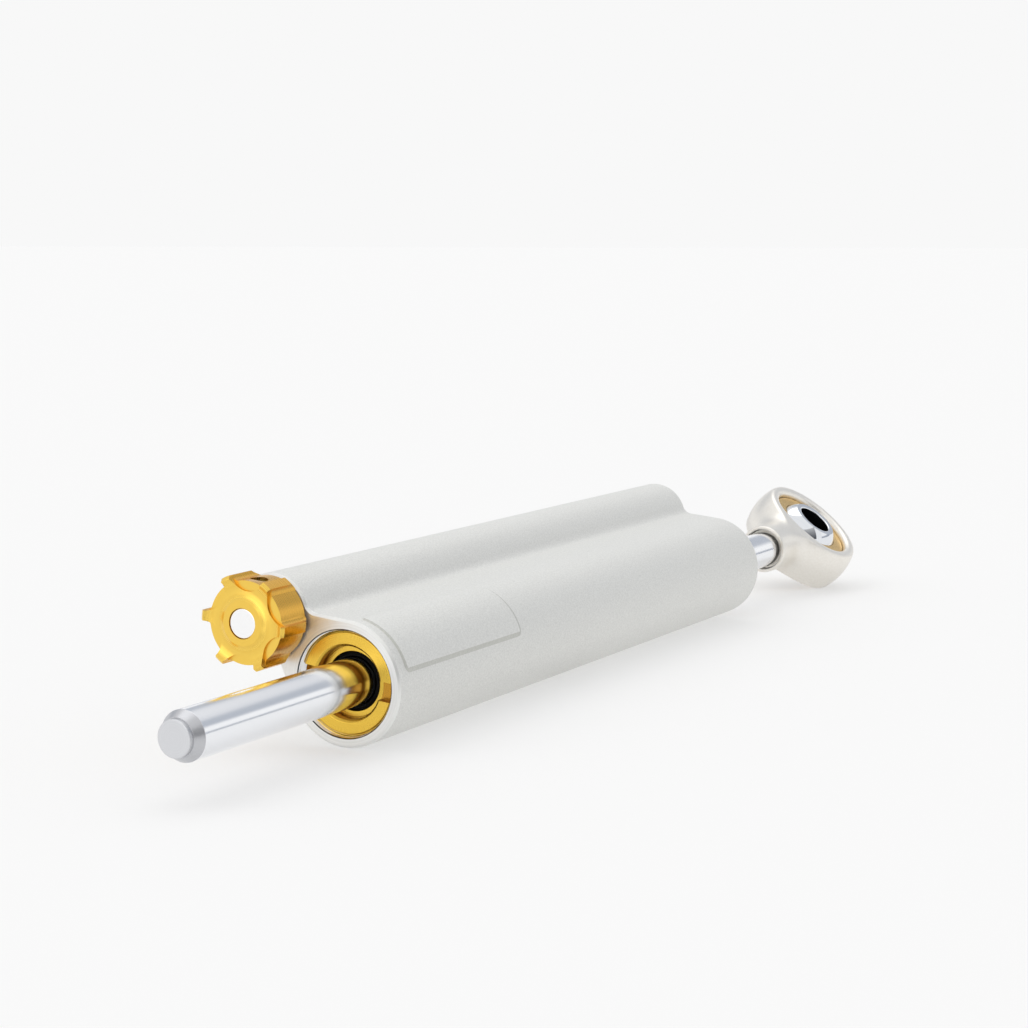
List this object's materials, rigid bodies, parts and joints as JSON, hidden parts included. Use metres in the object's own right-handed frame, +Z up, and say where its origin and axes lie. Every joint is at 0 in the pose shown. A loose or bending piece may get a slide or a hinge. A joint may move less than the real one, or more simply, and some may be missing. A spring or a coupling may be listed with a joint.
{
  "type": "motorcycle steering damper",
  "caption": "Linear motorcycle steering damper: aluminium housing with a through rod, a spherical rod end, gold lock rings and a lobed click adjuster knob.",
  "frame": {"origin": "on the rod axis, half way along the housing, where a body clamp grips it", "axes": "+X along the rod towards the eye, +Z up as the damper lies in the picture, the adjuster tube raised towards +Y"},
  "size_m": [0.2637, 0.0345, 0.0296],
  "materials": {
    "blasted_aluminium": "bead blasted and clear anodised",
    "gold_anodised": "turned and gold anodised",
    "gold_knob": "milled and gold anodised",
    "black_rubber": "moulded",
    "bronze": "turned",
    "piston_aluminium": "turned",
    "ring_plastic": "filled fluoropolymer",
    "spring_steel": "drawn",
    "hard_chrome": "ground and hard chromed",
    "nickel_steel": "satin nickel",
    "ball_chrome": "polished chrome",
    "spindle_steel": "turned and polished",
    "black_steel": "blackened"
  },
  "bodies": {
    "housing": {"housing": "blasted_aluminium", "front_lock_ring": "gold_anodised", "front_seal_head": "gold_anodised", "front_wiper": "black_rubber", "front_rod_seal": "black_rubber", "front_bush": "bronze", "front_head_o_ring": "black_rubber", "rear_lock_ring": "gold_anodised", "rear_seal_head": "gold_anodised", "rear_wiper": "black_rubber", "rear_rod_seal": "black_rubber", "rear_bush": "bronze", "rear_head_o_ring": "black_rubber", "adjuster_body": "bronze", "adjuster_o_ring": "black_rubber", "needle_guide": "bronze", "valve_seat": "bronze", "compensator_spring": "spring_steel"},
    "piston": {"piston": "piston_aluminium", "piston_ring": "ring_plastic", "piston_o_ring_seal": "black_rubber"},
    "rod": {"rod": "hard_chrome", "piston_clips": "spring_steel", "rod_end": "nickel_steel", "rod_end_race": "bronze"},
    "ball": {"rod_end_ball": "ball_chrome"},
    "knob": {"knob": "gold_knob", "knob_grub_screw": "black_steel", "adjuster_spindle": "spindle_steel", "spindle_o_ring": "black_rubber", "detent_spring": "spring_steel"},
    "needle": {"needle": "spring_steel"},
    "detent": {"detent_ball": "ball_chrome"},
    "compensator": {"compensator_cup": "piston_aluminium", "compensator_o_ring": "black_rubber"}
  },
  "joints": [
    {"name": "piston_slide", "type": "slide", "parent": "housing", "child": "piston", "axis": [1, 0, 0], "range_m": [-0.027, 0.041]},
    {"name": "rod_spin", "type": "hinge", "parent": "piston", "child": "rod", "pos_m": [0, 0, 0], "axis": [1, 0, 0], "continuous": true},
    {"name": "ball_swivel", "type": "hinge", "parent": "rod", "child": "ball", "pos_m": [0.128, 0, 0], "axis": [0, -0.6428, 0.766], "continuous": true},
    {"name": "knob_turn", "type": "hinge", "parent": "housing", "child": "knob", "pos_m": [-0.08, 0.01386, 0.01018], "axis": [1, 0, 0], "range_deg": [-337.5, 337.5]},
    {"name": "needle_feed", "type": "slide", "parent": "housing", "child": "needle", "axis": [1, 0, 0], "range_m": [-0.00075, 0.00075]},
    {"name": "detent_click", "type": "slide", "parent": "knob", "child": "detent", "axis": [1, 0, 0], "range_m": [0, 0.00028], "deforming": ["detent_spring"]},
    {"name": "compensator_slide", "type": "slide", "parent": "housing", "child": "compensator", "axis": [1, 0, 0], "range_m": [-0.001, 0.004], "stiffness_N_per_m": 800, "deforming": ["compensator_spring"]}
  ],
  "couplings": [
    {"joint": "knob_turn", "follows": "needle_feed", "rad_per_m": 7854}
  ]
}
